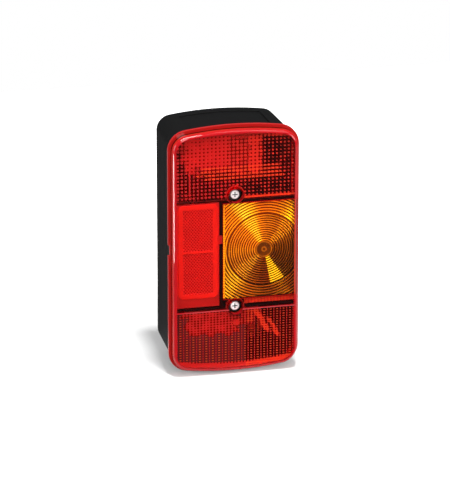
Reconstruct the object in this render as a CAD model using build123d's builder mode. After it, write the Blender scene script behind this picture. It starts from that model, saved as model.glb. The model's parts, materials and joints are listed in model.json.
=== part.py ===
from build123d import *
import math
import os

# Rear lamp for a trailer: a black housing, a two-colour lens held by two
# screws, and three bayonet bulbs. Millimetres, +Z up. The origin is the centre
# of the mounting face, +Y points into the vehicle and the lens faces -Y, so a
# "depth" here is a distance in front of the mounting face.

# Outline of the lens flange
LENS_WIDTH = 98.0
LENS_HEIGHT = 190.0
CROWN_RADIUS = 252.5
CORNER_RADIUS = 15.0

# Housing
FLOOR = 2.6
WALL = 2.6
BACK_INSET = 3.8
RIM_INSET = 2.15
RIM_DEPTH = 53.4
LIP_INSET = 6.1
LIP_HEIGHT = 6.0
GROOVE = (3.1, 4.9)
GROOVE_FLOOR = 50.9
SCREEN_DEPTH = 60.2
SCREEN_HALF_WIDTH = 43.6
TOP_SCREEN = (36.7, 39.0)
BOTTOM_SCREEN = (-44.2, -42.2)
SIDE_SCREEN = (-11.3, -9.2)
SIDE_GAP = (5.5, 11.9)
PANEL_HALF_WIDTH = 30.5
PANEL_START = 10.0
PANEL_SINK = 0.8

# Lens
FLANGE_BACK = 53.5
FLANGE_FRONT = 56.0
LENS_FRONT = 63.5
LENS_SKIN = 2.4
BODY_INSET = 2.1
EDGE_FILLET = 2.8
TONGUE = (3.4, 4.6)
TONGUE_TIP = 52.3
AMBER_X = -9.7
AMBER_Z = (-36.7, 37.3)
NOTCH_Z = (-1.8, 6.3)
NOTCH_SINK = 1.2
STEP_Z = -44.6
STEP_DEPTH = 0.5
RING_CENTRE = (21.5, 0.0)
RING_HUB = 6.3
RING_TOOTH = 0.8
RING_ZONES = ((12, 1.74), (10, 2.02))
RING_RIB = 0.7
REFLEX_X = (-42.8, -13.3)
REFLEX_Z = (-34.7, 37.3)

# Lens screws
SCREW_Z = 43.0
SCREW_SEAT = 57.0
SEAL_THICKNESS = 1.0
SCREW_HEAD = 2.4
SCREW_HEAD_R = 3.5
SCREW_R = 2.0
SCREW_LENGTH = 20.0
BOSS_TOP = 54.6

# Fixing holes and cable entry
FIXING_Z = 30.0
FIXING_R = 3.25
GROMMET_AT = (-31.0, -31.0)
CABLE_R = 3.5

# Bulbs and sockets, named by the lamp they light: centre x, z
LAMPS = {"upper": (0.0, 69.0), "amber": (21.5, 0.0), "lower": (0.0, -69.0)}
TWIN_CONTACTS = {"upper": (-3.2, 3.2), "amber": (0.0,), "lower": (0.0,)}
POSTS = {
    "upper": ((-16.0, 80.0), (16.0, 58.0)),
    "amber": ((5.5, 11.0), (37.5, -11.0)),
    "lower": ((16.0, -58.0), (-16.0, -80.0)),
}
PLATES = {
    "upper": (-21.5, 27.5, 46.0, 84.0),
    "amber": (-6.0, 42.0, -20.0, 20.0),
    "lower": (-26.0, 30.0, -84.0, -47.5),
}
PLATE_DEPTH = 5.6
SHEET = 0.8
SOCKET_BACK = 3.0
SOCKET_FRONT = 19.0
SOCKET_IN = 7.65
SOCKET_OUT = 8.25
CONTACT_DEPTH = 9.3
PUSH = 1.5
TURN = 30.0
PIN_DEPTH = 16.3
CAP_R = 7.5
CAP_FRONT = 27.0
GLASS_R = 12.5
BULB_LENGTH = 47.5
FILAMENT_DEPTH = CONTACT_DEPTH + 31.8

# Terminal block and its leads
BLOCK = (-34.5, -21.5, -20.0, 20.0)
BLOCK_FRONT = 13.6
TERMINALS = (16.0, 8.0, 0.0, -8.0, -16.0)
LEAD_DEPTH = 4.5
LEAD_R = 0.9
LEAD_START = -25.5


def layer(depth, x=0.0, z=0.0):
    """Sketch plane that faces the front, `depth` from the mounting face."""
    return Plane(origin=(x, -depth, z), x_dir=(1, 0, 0), z_dir=(0, -1, 0))


def axial(x, z):
    """Plane through the line at (x, z) whose coordinates are (radius, depth)."""
    return Plane(origin=(x, 0, z), x_dir=(1, 0, 0), z_dir=(0, 0, -1))


def centre_line(x, z):
    """Axis at (x, z) that points to the front."""
    return Axis((x, 0, z), (0, -1, 0))


def lamp_face(inset):
    """Crowned rectangle with round corners, `inset` inside the flange's edge."""
    crown = LENS_HEIGHT / 2 - inset
    radius = CROWN_RADIUS - inset
    with BuildSketch() as face:
        Rectangle(LENS_WIDTH - 2 * inset, 2 * crown + 4)
        for end in (1, -1):
            with Locations((0, end * (crown - radius))):
                Circle(radius, mode=Mode.INTERSECT)
        fillet(face.vertices(), CORNER_RADIUS - inset)
    return face.sketch


def slab(start, end, inset, inner=None, mode=Mode.ADD):
    """Lamp-shaped slab between two depths; `inner` is the inset of a hole through it."""
    with BuildSketch(layer(start)) as face:
        add(lamp_face(inset))
        if inner is not None:
            add(lamp_face(inner), mode=Mode.SUBTRACT)
    extrude(face.sketch, amount=end - start, mode=mode)


def tapered(start, end, inset_start, inset_end, mode=Mode.ADD):
    """Lamp-shaped slab whose inset changes with depth."""
    with BuildSketch(layer(start)) as back:
        add(lamp_face(inset_start))
    with BuildSketch(layer(end)) as front:
        add(lamp_face(inset_end))
    loft([back.sketch, front.sketch], mode=mode)


def block(x_range, z_range, start, end, mode=Mode.ADD):
    """Rectangular block between two depths."""
    width = x_range[1] - x_range[0]
    height = z_range[1] - z_range[0]
    middle = layer(start, sum(x_range) / 2, sum(z_range) / 2)
    with BuildSketch(middle) as face:
        Rectangle(width, height)
    extrude(face.sketch, amount=end - start, mode=mode)


def disc(centre, radius, start, end, hole=0.0, mode=Mode.ADD):
    """Round disc or ring between two depths."""
    with BuildSketch(layer(start, *centre)) as face:
        Circle(radius)
        if hole:
            Circle(hole, mode=Mode.SUBTRACT)
    extrude(face.sketch, amount=end - start, mode=mode)


def wedge(centre, angles, reach, start, end, mode=Mode.SUBTRACT):
    """Three-cornered prism from the centre line, between two angles in degrees."""
    tip = [(0.0, 0.0)]
    for angle in angles:
        turn = math.radians(angle)
        tip.append((reach * math.cos(turn), reach * math.sin(turn)))
    with BuildSketch(layer(start, *centre)) as face:
        Polygon(*tip, align=None)
    extrude(face.sketch, amount=end - start, mode=mode)


def inset_at(depth):
    """Inset of the housing's tapered outside at a depth."""
    return BACK_INSET + (RIM_INSET - BACK_INSET) * depth / RIM_DEPTH


def save(piece, name):
    """Label a finished piece and write its STEP file."""
    piece.part.label = name
    export_step(piece.part, f"parts/{name}.step")


os.makedirs("parts", exist_ok=True)

# ---------------------------------------------------------------- housing
with BuildPart() as top_panel:
    tapered(0, RIM_DEPTH, BACK_INSET, RIM_INSET)
    tapered(0, RIM_DEPTH, BACK_INSET + PANEL_SINK, RIM_INSET + PANEL_SINK, mode=Mode.SUBTRACT)
    block((-PANEL_HALF_WIDTH, PANEL_HALF_WIDTH), (-100, 100), PANEL_START, RIM_DEPTH, mode=Mode.INTERSECT)

with BuildPart() as housing:
    tapered(0, RIM_DEPTH, BACK_INSET, RIM_INSET)
    lip_start = RIM_DEPTH - LIP_HEIGHT
    tapered(FLOOR, lip_start, inset_at(FLOOR) + WALL, inset_at(lip_start) + WALL, mode=Mode.SUBTRACT)
    slab(lip_start, RIM_DEPTH, LIP_INSET, mode=Mode.SUBTRACT)
    add(top_panel.part, mode=Mode.SUBTRACT)

    # Light screens between the three lamps, taller than the rim
    for band in (TOP_SCREEN, BOTTOM_SCREEN):
        left = SIDE_SCREEN[0] if band is TOP_SCREEN else -45.0
        block((left, 45.0), band, FLOOR, RIM_DEPTH)
        block((max(left, -SCREEN_HALF_WIDTH), SCREEN_HALF_WIDTH), band, RIM_DEPTH, SCREEN_DEPTH)
    block(SIDE_SCREEN, (BOTTOM_SCREEN[1], SIDE_GAP[0]), FLOOR, SCREEN_DEPTH)
    block(SIDE_SCREEN, (SIDE_GAP[1], TOP_SCREEN[1]), FLOOR, SCREEN_DEPTH)

    # Screw bosses, with room above them for the lens's own bosses
    for end in (1, -1):
        disc((0, end * SCREW_Z), 5.0, FLOOR, BOSS_TOP)
        disc((0, end * SCREW_Z), 7.2, BOSS_TOP, SCREEN_DEPTH + 1, mode=Mode.SUBTRACT)
        disc((0, end * SCREW_Z), SCREW_R + 0.05, 36.0, BOSS_TOP, mode=Mode.SUBTRACT)

    # Ways through the screens for the leads, along the floor
    block((-21.5, -13.5), (BOTTOM_SCREEN[0] - 1, BOTTOM_SCREEN[1] + 1), FLOOR, 7.0, mode=Mode.SUBTRACT)
    for band in (TOP_SCREEN, BOTTOM_SCREEN):
        block((22.0, 26.0), (band[0] - 1, band[1] + 1), FLOOR, 7.0, mode=Mode.SUBTRACT)

    # Posts for the bulb plates, and pockets for the contact stems
    for lamp, (x, z) in LAMPS.items():
        for post in POSTS[lamp]:
            disc(post, 3.5, FLOOR, PLATE_DEPTH)
            disc(post, 1.55, 3.6, PLATE_DEPTH, mode=Mode.SUBTRACT)
        for offset in TWIN_CONTACTS[lamp]:
            disc((x + offset, z), 2.2, 1.4, FLOOR, mode=Mode.SUBTRACT)

    # Pegs under the terminal block
    for end in (1, -1):
        disc((-32.6, end * 12.0), 1.2, FLOOR, 5.0)

    # Fixing holes with pads
    for end in (1, -1):
        disc((0, end * FIXING_Z), 7.0, FLOOR, 4.1)
        disc((0, end * FIXING_Z), FIXING_R, 0, 4.1, mode=Mode.SUBTRACT)

    # Seat for the cable grommet
    disc(GROMMET_AT, 9.5, FLOOR, 4.2)
    disc(GROMMET_AT, 8.3, 0, 1.4, mode=Mode.SUBTRACT)
    disc(GROMMET_AT, 5.5, 0, 4.2, mode=Mode.SUBTRACT)

    # Groove for the gasket
    slab(GROOVE_FLOOR, RIM_DEPTH, GROOVE[0], inner=GROOVE[1], mode=Mode.SUBTRACT)

# The housing's nodes: its walls, the floor between them, the three screens, and its posts
with BuildPart() as inside:
    slab(0, FLOOR, inset_at(FLOOR) + WALL)
    tapered(FLOOR, lip_start, inset_at(FLOOR) + WALL, inset_at(lip_start) + WALL)
    slab(lip_start, SCREEN_DEPTH + 1, LIP_INSET)

with BuildPart() as walls:
    add(housing.part)
    add(inside.part, mode=Mode.SUBTRACT)
save(walls, "housing_walls")

with BuildPart() as floor:
    add(housing.part)
    slab(0, FLOOR, inset_at(FLOOR) + WALL, mode=Mode.INTERSECT)
save(floor, "housing_floor")

BANDS = {
    "screen_top": ((-50, 50), TOP_SCREEN),
    "screen_bottom": ((-50, 50), BOTTOM_SCREEN),
    "screen_side": (SIDE_SCREEN, (BOTTOM_SCREEN[1], TOP_SCREEN[0])),
}
with BuildPart() as standing:
    add(housing.part)
    add(inside.part, mode=Mode.INTERSECT)
    slab(0, FLOOR, 0, mode=Mode.SUBTRACT)

for name, (across, upright) in BANDS.items():
    with BuildPart() as screen:
        add(standing.part)
        block(across, upright, 0, SCREEN_DEPTH + 1, mode=Mode.INTERSECT)
    save(screen, name)

with BuildPart() as posts:
    add(standing.part)
    for across, upright in BANDS.values():
        block(across, upright, 0, SCREEN_DEPTH + 1, mode=Mode.SUBTRACT)
save(posts, "housing_posts")

with BuildPart() as gasket:
    slab(GROOVE_FLOOR, TONGUE_TIP, GROOVE[0] + 0.1, inner=GROOVE[1] - 0.1)
save(gasket, "lens_gasket")

with BuildPart() as grommet:
    disc(GROMMET_AT, 8.0, 0.1, 1.4)
    disc(GROMMET_AT, 5.4, 1.4, 4.3)
    disc(GROMMET_AT, 7.5, 4.3, 5.8)
    with BuildSketch(layer(5.8, *GROMMET_AT)):
        Circle(5.6)
    with BuildSketch(layer(10.0, *GROMMET_AT)):
        Circle(4.6)
    loft()
    disc(GROMMET_AT, CABLE_R, 0.1, 10.0, mode=Mode.SUBTRACT)
save(grommet, "cable_grommet")

# ------------------------------------------------------------------- lens
with BuildPart() as lens_shell:
    slab(FLANGE_FRONT, LENS_FRONT, BODY_INSET)
    fillet(lens_shell.faces().sort_by(Axis.Y)[0].edges(), EDGE_FILLET)
    slab(FLANGE_BACK, FLANGE_FRONT, 0)
    slab(FLANGE_BACK, LENS_FRONT - LENS_SKIN, BODY_INSET + LENS_SKIN, mode=Mode.SUBTRACT)

with BuildPart() as lens_red:
    add(lens_shell.part)
    slab(TONGUE_TIP, FLANGE_BACK, TONGUE[0], inner=TONGUE[1])
    for end in (1, -1):
        disc((0, end * SCREW_Z), 6.2, 55.0, LENS_FRONT - LENS_SKIN)
        disc((0, end * SCREW_Z), 5.5, SCREW_SEAT, LENS_FRONT, mode=Mode.SUBTRACT)
        disc((0, end * SCREW_Z), 2.4, 55.0, SCREW_SEAT, mode=Mode.SUBTRACT)
    block((AMBER_X, LENS_WIDTH), AMBER_Z, FLANGE_FRONT, LENS_FRONT + 1, mode=Mode.SUBTRACT)
    # Groove across the front, between the rear lamp's two lower fields
    with BuildSketch(Plane.YZ):
        Polygon(
            (-LENS_FRONT + STEP_DEPTH, STEP_Z),
            (-LENS_FRONT - STEP_DEPTH, STEP_Z + 1.2),
            (-LENS_FRONT - STEP_DEPTH, STEP_Z - 1.2),
            align=None,
        )
    extrude(amount=LENS_WIDTH, both=True, mode=Mode.SUBTRACT)
    # Pry notch in the flange
    block((-LENS_WIDTH, NOTCH_SINK - LENS_WIDTH / 2), NOTCH_Z, FLANGE_BACK, FLANGE_FRONT, mode=Mode.SUBTRACT)
save(lens_red, "lens_red")

with BuildPart() as rings:
    # Saw-tooth rings about the amber bulb's axis, with a lens-shaped hub, and a
    # plain rib between the fine rings and the coarse ones
    face_depth = LENS_FRONT - LENS_SKIN
    with BuildSketch(axial(*RING_CENTRE)):
        with BuildLine():
            Line((0, face_depth + 0.3), (0, face_depth - RING_TOOTH))
            ThreePointArc(
                (0, face_depth - RING_TOOTH),
                (RING_HUB / 2, face_depth - 0.75 * RING_TOOTH),
                (RING_HUB, face_depth),
            )
            last = (RING_HUB, face_depth)
            for count, pitch in RING_ZONES:
                for ring in range(count):
                    tooth = (last[0], face_depth - RING_TOOTH)
                    foot = (last[0] + pitch, face_depth)
                    Polyline(last, tooth, foot)
                    last = foot
                rib = last[0] + RING_RIB
                crest = face_depth - 1.1 * RING_TOOTH
                after = (rib + RING_RIB / 2, face_depth)
                Polyline(last, (last[0], crest), (rib, crest), (rib, face_depth), after)
                last = after
            Polyline(last, (last[0], face_depth + 0.3), (0, face_depth + 0.3))
        make_face()
    revolve(axis=centre_line(*RING_CENTRE))
    block((AMBER_X + 1.2, 44.0), (AMBER_Z[0] + 1.2, AMBER_Z[1] - 1.2), 55.0, 65.0, mode=Mode.INTERSECT)

with BuildPart() as lens_amber:
    add(lens_shell.part)
    block((AMBER_X, LENS_WIDTH), AMBER_Z, FLANGE_FRONT, LENS_FRONT + 1, mode=Mode.INTERSECT)
    add(rings.part)
save(lens_amber, "lens_amber")

with BuildPart() as reflector:
    block(REFLEX_X, REFLEX_Z, LENS_FRONT - LENS_SKIN - 2.4, LENS_FRONT - LENS_SKIN)
    fillet(reflector.edges().filter_by(Axis.Y), 3.5)
save(reflector, "reflex_reflector")

with BuildPart() as backing:
    block(REFLEX_X, REFLEX_Z, LENS_FRONT - LENS_SKIN - 3.4, LENS_FRONT - LENS_SKIN - 2.4)
    fillet(backing.edges().filter_by(Axis.Y), 3.5)
save(backing, "reflex_backing")

for name, end in (("lens_screw_upper", 1), ("lens_screw_lower", -1)):
    centre = (0, end * SCREW_Z)
    head_back = SCREW_SEAT + SEAL_THICKNESS
    tip = head_back - SCREW_LENGTH
    with BuildPart() as screw:
        disc(centre, SCREW_HEAD_R, head_back, head_back + SCREW_HEAD)
        fillet(screw.faces().sort_by(Axis.Y)[0].edges(), 1.1)
        for angle in (0, 90):
            with BuildSketch(layer(head_back + 0.9, *centre)) as recess:
                Rectangle(4.0, 0.9, rotation=angle)
            extrude(recess.sketch, amount=2.0, mode=Mode.SUBTRACT)
        disc(centre, SCREW_R, tip, head_back)
        # Thread, as rings along the front part of the shank
        for turn in range(9):
            disc(centre, SCREW_R, tip + 1.2 + turn, tip + 1.6 + turn, hole=1.7, mode=Mode.SUBTRACT)
    save(screw, name)

with BuildPart() as seals:
    for end in (1, -1):
        disc((0, end * SCREW_Z), 4.9, SCREW_SEAT, SCREW_SEAT + SEAL_THICKNESS, hole=2.3)
save(seals, "screw_seals")

# ----------------------------------------------------- bulb plates, sockets
for lamp, (x, z) in LAMPS.items():
    x0, x1, z0, z1 = PLATES[lamp]
    with BuildPart() as plate:
        block((x0, x1), (z0, z1), PLATE_DEPTH, PLATE_DEPTH + SHEET)
        for edge in (x0, x1 - SHEET):
            block((edge, edge + SHEET), (z0, z1), PLATE_DEPTH, PLATE_DEPTH + 4.0)
        disc((x, z), SOCKET_OUT + 0.1, PLATE_DEPTH, PLATE_DEPTH + SHEET, mode=Mode.SUBTRACT)
        for post in POSTS[lamp]:
            disc(post, 1.6, PLATE_DEPTH, PLATE_DEPTH + SHEET, mode=Mode.SUBTRACT)
        for end in (1, -1):
            disc((0, end * SCREW_Z), 6.0, PLATE_DEPTH, PLATE_DEPTH + 4.0, mode=Mode.SUBTRACT)
    save(plate, f"bulb_plate_{lamp}")

    with BuildPart() as socket:
        disc((x, z), SOCKET_OUT, SOCKET_BACK, SOCKET_FRONT, hole=SOCKET_IN)
        disc((x, z), SOCKET_OUT, SOCKET_BACK, SOCKET_BACK + 0.4, hole=6.6)
        disc((x, z), 11.0, PLATE_DEPTH + SHEET, PLATE_DEPTH + SHEET + 0.6, hole=SOCKET_IN)
        # Two bayonet slots: a way in from the front, then a window to turn in
        for side in (0, 180):
            window = (side - 9.5, side + TURN / 2, side + TURN + 9.5)
            entry = (side + TURN - 9.5, side + TURN + 9.5)
            wedge((x, z), window, 12.0, PIN_DEPTH - PUSH - 1.3, PIN_DEPTH + 1.1)
            wedge((x, z), entry, 12.0, PIN_DEPTH - PUSH - 1.3, SOCKET_FRONT)
    save(socket, f"socket_{lamp}")

    contacts = TWIN_CONTACTS[lamp]
    stem = 1.5 if len(contacts) == 1 else 1.2
    with BuildPart() as base:
        disc((x, z), SOCKET_IN - 0.05, SOCKET_BACK + 0.4, 4.6)
        for offset in contacts:
            disc((x + offset, z), stem + 0.1, SOCKET_BACK + 0.4, 4.6, mode=Mode.SUBTRACT)
    save(base, f"socket_base_{lamp}")

    with BuildPart() as contact:
        for offset in contacts:
            disc((x + offset, z), stem, 3.7, CONTACT_DEPTH)
            disc((x + offset, z), stem + 1.1, 8.6, CONTACT_DEPTH)
    save(contact, f"contact_{lamp}")

    with BuildPart() as carrier:
        disc((x, z), 7.2, 7.4, 8.6)
        for offset in contacts:
            disc((x + offset, z), stem, 7.4, 8.6, mode=Mode.SUBTRACT)
    save(carrier, f"contact_disc_{lamp}")

    with BuildPart() as spring:
        with BuildLine() as coil:
            Helix(pitch=1.1, height=2.2, radius=6.2, center=(x, -4.9, z), direction=(0, -1, 0))
        with BuildSketch(Plane(origin=coil.line @ 0, z_dir=coil.line % 0)):
            Circle(0.25)
        sweep(path=coil.line, is_frenet=True)
    save(spring, f"spring_{lamp}")

    with BuildPart() as feed:
        for offset in contacts:
            side = 1 if offset > 0 else -1
            reach = sorted((x + offset - side * 2.6, x + side * 13.0))
            block(reach, (z - 2.5, z + 2.5), FLOOR + 0.05, FLOOR + 0.35)
            disc((x + offset, z), stem + 0.1, FLOOR, FLOOR + 0.4, mode=Mode.SUBTRACT)
    save(feed, f"feed_strip_{lamp}")

with BuildPart() as rivets:
    for posts in POSTS.values():
        for post in posts:
            disc(post, 1.5, 3.8, PLATE_DEPTH + SHEET)
            disc(post, 2.6, PLATE_DEPTH + SHEET, PLATE_DEPTH + SHEET + 1.0)
save(rivets, "plate_rivets")


# ------------------------------------------------------------------ bulbs
def glass_profile(shrink, foot):
    """Half section of the pear-shaped envelope, `shrink` inside its outside."""
    ball = CONTACT_DEPTH + BULB_LENGTH - GLASS_R
    radius = GLASS_R - shrink
    join = math.radians(-35)
    neck = 6.8 - shrink
    with BuildLine() as profile:
        Line((0, foot), (neck, foot))
        Line((neck, foot), (neck, 31.0))
        Line((neck, 31.0), (radius * math.cos(join), ball + radius * math.sin(join)))
        ThreePointArc(
            (radius * math.cos(join), ball + radius * math.sin(join)),
            (radius * math.cos(math.radians(30)), ball + radius * math.sin(math.radians(30))),
            (0, ball + radius),
        )
        Line((0, ball + radius), (0, foot))
    make_face(profile.edges())


for lamp, (x, z) in LAMPS.items():
    twin = len(TWIN_CONTACTS[lamp]) == 2
    with BuildPart() as cap:
        disc((x, z), CAP_R, 11.5, CAP_FRONT, hole=CAP_R - 0.4)
        disc((x, z), CAP_R, 11.5, 12.1, hole=5.2)
        for side in (1, -1):
            pin = Plane(origin=(x, -PIN_DEPTH, z), x_dir=(0, 1, 0), z_dir=(side, 0, 0))
            with BuildSketch(pin.offset(CAP_R - 0.2)) as round_pin:
                Circle(1.0)
            extrude(round_pin.sketch, amount=1.4)
    save(cap, f"bulb_cap_{lamp}")

    with BuildPart() as foot:
        disc((x, z), 5.2, 10.7, 12.1)
    save(foot, f"bulb_foot_{lamp}")

    with BuildPart() as tip:
        for offset in TWIN_CONTACTS[lamp]:
            disc((x + offset, z), 1.6, CONTACT_DEPTH, 10.7)
    save(tip, f"bulb_tip_{lamp}")

    with BuildPart() as glass:
        with BuildSketch(axial(x, z)):
            glass_profile(0, 24.0)
        revolve(axis=centre_line(x, z))
        with BuildSketch(axial(x, z)):
            glass_profile(0.6, 25.0)
        revolve(axis=centre_line(x, z), mode=Mode.SUBTRACT)
        disc((x, z), 1.8, 25.0, 32.0)
    save(glass, f"bulb_glass_{lamp}")

    with BuildPart() as filament:
        depths = (FILAMENT_DEPTH, FILAMENT_DEPTH - 3.0) if twin else (FILAMENT_DEPTH,)
        for row, depth in enumerate(depths):
            height = z + 3.0 * row
            for side in (1, -1):
                disc((x + side * 3.0, height), 0.25, 25.0, depth)
            with BuildSketch(Plane.YZ.offset(x - 3.25)) as coil_end:
                with Locations((-depth, height)):
                    Circle(0.5)
            extrude(coil_end.sketch, amount=6.5)
    save(filament, f"bulb_filament_{lamp}")


# -------------------------------------------------- terminal block, leads
with BuildPart() as terminal_block:
    block(BLOCK[:2], BLOCK[2:], FLOOR, BLOCK_FRONT)
    chamfer(terminal_block.faces().sort_by(Axis.Y)[0].edges(), 0.8)
    for z in TERMINALS:
        middle = sum(BLOCK[:2]) / 2
        disc((middle, z), 2.3, 7.0, BLOCK_FRONT, mode=Mode.SUBTRACT)
        block((middle - 3.1, middle + 3.1), (z - 2.4, z + 2.4), 2.8, 7.0, mode=Mode.SUBTRACT)
        with BuildSketch(Plane.YZ.offset(BLOCK[0])) as wire_hole:
            with Locations((-LEAD_DEPTH, z)):
                Circle(1.3)
        extrude(wire_hole.sketch, amount=BLOCK[1] - BLOCK[0], mode=Mode.SUBTRACT)
    for end in (1, -1):
        disc((-32.6, end * 12.0), 1.3, FLOOR, 5.2, mode=Mode.SUBTRACT)
save(terminal_block, "terminal_block")

with BuildPart() as clamps:
    for z in TERMINALS:
        middle = sum(BLOCK[:2]) / 2
        block((middle - 3.0, middle + 3.0), (z - 2.3, z + 2.3), 2.9, 6.9)
        with BuildSketch(Plane.YZ.offset(middle - 3.0)) as bore:
            with Locations((-LEAD_DEPTH, z)):
                Circle(1.2)
        extrude(bore.sketch, amount=6.0, mode=Mode.SUBTRACT)
        disc((middle, z), 1.3, LEAD_DEPTH, 6.9, mode=Mode.SUBTRACT)
save(clamps, "terminal_clamps")

with BuildPart() as terminal_screws:
    for z in TERMINALS:
        middle = sum(BLOCK[:2]) / 2
        disc((middle, z), 1.2, 5.7, 7.6)
        disc((middle, z), 2.0, 7.6, 9.4)
        block((middle - 2.1, middle + 2.1), (z - 0.3, z + 0.3), 8.6, 9.4, mode=Mode.SUBTRACT)
save(terminal_screws, "terminal_screws")


def lead(*points):
    """Insulated lead along the floor, with each bend as wide as its runs allow."""
    radii = []
    for before, here, after in zip(points, points[1:], points[2:]):
        run_in = Vector(*here) - Vector(*before)
        run_out = Vector(*after) - Vector(*here)
        half_turn = math.radians(run_in.get_angle(run_out) / 2)
        radii.append(0.45 * min(run_in.length, run_out.length) / math.tan(half_turn))
    with BuildLine(layer(LEAD_DEPTH)) as path:
        if radii:
            FilletPolyline(*points, radius=radii)
        else:
            Line(*points)
    with BuildSketch(Plane(origin=path.line @ 0, z_dir=path.line % 0)) as end_face:
        Circle(LEAD_R)
    sweep(end_face.sketch, path=path.line)


with BuildPart() as wire_stop:
    lead((LEAD_START, 16.0), (-19.0, 16.0), (-19.0, 70.0), (-9.0, 79.5), (8.0, 79.5), (12.2, 69.0))
save(wire_stop, "wire_stop")

with BuildPart() as wire_tail:
    lead((LEAD_START, 8.0), (-16.5, 8.0), (-16.5, 62.0), (-12.2, 69.0))
save(wire_tail, "wire_tail")

with BuildPart() as wire_indicator:
    lead((LEAD_START, 0.0), (-16.0, 0.0), (-11.5, 8.7), (0.0, 8.7), (9.3, 0.0))
save(wire_indicator, "wire_indicator")

with BuildPart() as wire_fog:
    lead((LEAD_START, -8.0), (-16.0, -8.0), (-16.0, -62.0), (-12.2, -69.0))
save(wire_fog, "wire_fog")

with BuildPart() as wire_earth:
    lead((LEAD_START, -16.0), (-19.0, -16.0), (-19.0, -53.0))
    lead((24.0, 12.5), (24.0, 54.0))
    lead((24.0, -12.5), (24.0, -54.0))
save(wire_earth, "wire_earth")
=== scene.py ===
import json
import math

import bpy
import numpy as np
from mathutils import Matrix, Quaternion, Vector


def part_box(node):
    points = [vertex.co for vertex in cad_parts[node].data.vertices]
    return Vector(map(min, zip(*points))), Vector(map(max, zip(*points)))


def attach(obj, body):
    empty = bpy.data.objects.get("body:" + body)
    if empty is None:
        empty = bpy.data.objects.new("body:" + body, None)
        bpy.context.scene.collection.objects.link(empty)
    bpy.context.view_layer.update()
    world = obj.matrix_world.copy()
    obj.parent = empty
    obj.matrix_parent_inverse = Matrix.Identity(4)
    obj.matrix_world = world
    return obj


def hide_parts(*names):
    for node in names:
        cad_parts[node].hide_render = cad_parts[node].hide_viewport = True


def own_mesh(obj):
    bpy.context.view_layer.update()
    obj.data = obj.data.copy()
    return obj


# Rear lamp for a trailer, standing on a pale floor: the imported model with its
# finishes, and the moulded optics behind the lens. Metres, +Z up, the lens
# faces -Y. A "depth" is a distance in front of the mounting face, so y = -depth.
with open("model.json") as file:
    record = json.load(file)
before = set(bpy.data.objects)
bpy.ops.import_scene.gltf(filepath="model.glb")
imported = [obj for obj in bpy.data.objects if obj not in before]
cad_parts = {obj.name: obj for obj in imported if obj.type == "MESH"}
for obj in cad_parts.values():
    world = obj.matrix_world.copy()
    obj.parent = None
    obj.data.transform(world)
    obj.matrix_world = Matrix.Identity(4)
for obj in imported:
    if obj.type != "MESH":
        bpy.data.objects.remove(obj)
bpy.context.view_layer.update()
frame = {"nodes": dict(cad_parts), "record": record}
nodes = frame["nodes"]
MM = 0.001

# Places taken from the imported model
lens_low, lens_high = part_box("lens_red")
LENS_FRONT = -lens_low.y
LENS_SKIN = 2.4 * MM
INNER_FACE = LENS_FRONT - LENS_SKIN
screw_low, screw_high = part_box("lens_screw_upper")
SCREW_Z = (screw_low.z + screw_high.z) / 2

# Outline of the lens: a crowned rectangle with round corners
HALF_WIDTH = lens_high.x
HALF_HEIGHT = lens_high.z
CROWN_RADIUS = 252.5 * MM
CROWN_STEPS = 25
CORNER_RADIUS = 15 * MM
CORNER_STEPS = 12
EDGE_ROUND = 2.8 * MM
EDGE_STEPS = 9

# Springs under the bulbs' contact carriers
SPRING_WIRE = 0.25 * MM
SPRING_TURNS = 2
SPRING_STEPS = 48
SPRING_SIDES = 12

# Pads moulded behind the red fields
FIELD_INSET = 4.7 * MM
BOSS_CLEARANCE = 7.0 * MM
BAY_STEPS = 17
UPPER_FIELD_FOOT = 39.5 * MM
LOWER_FIELD_HEAD = -45.6 * MM
PILLOW = (2.95 * MM, 2.75 * MM)
PILLOW_SWELL = (0.12 * MM, 0.12 * MM)
PILLOW_STEPS = (8, 8)
FLUTE = (4.88 * MM, 1.93 * MM)
FLUTE_SWELL = (0.15 * MM, 0.08 * MM)
FLUTE_STEPS = (14, 6)
SHEET_FRONT = INNER_FACE - 0.05 * MM
SHEET_THICKNESS = 0.4 * MM
SHEET_BACK_SHARE = 0.6
SHEET_CREASE = 20
TRIM_REACH = 2 * MM
# Finish numbers of the pads: clear, painted light, painted shade, orange painted highlight and a
# dimmer painted shade
CLEAR, LIT, SHADE, ORANGE_GLINT, DIM = range(5)

# Parts of the patterns, in millimetres: where the crown's edge drops x^2 / CROWN_DROP
# below its middle, the upper field's strip, foot and rows, and the lower field's spot
CROWN_DROP = 505
STRIP_X, STRIP_FOOT, STRIP_HALF = -34.2, 46.5, 0.6
BEADS_X, BEADS_Z, BEADS_HALF = 6.8, 41.2, 0.75
FIELD_FOOT = 40.6
ROWS_X, ROWS_Z = (-26, 34, 2), (54.5, 65, 1)
FLUTE_PITCH = 2.44
FLUTE_CHANGE = 8
SPOT, SPOT_RADIUS, SPOT_RIM = (0.7, -55.3), 2.7, 3.2

# Small sheets, in millimetres: left, right, bottom and top
BRIDGE_BOX = (-12.1, -9.9, 6.5, 12.9)
SILL_BOX = (6.6, 45.0, -40.9, -37.1)
BEAD_BOX = (-9.1, -7.9, -36.0, 36.6)

# Collars round the screws' bosses
COLLAR_RADII = (6.30 * MM, 6.95 * MM)
COLLAR_DEPTHS = (INNER_FACE - 1.9 * MM, INNER_FACE - 1.2 * MM)
COLLAR_STEPS = 96

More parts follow.
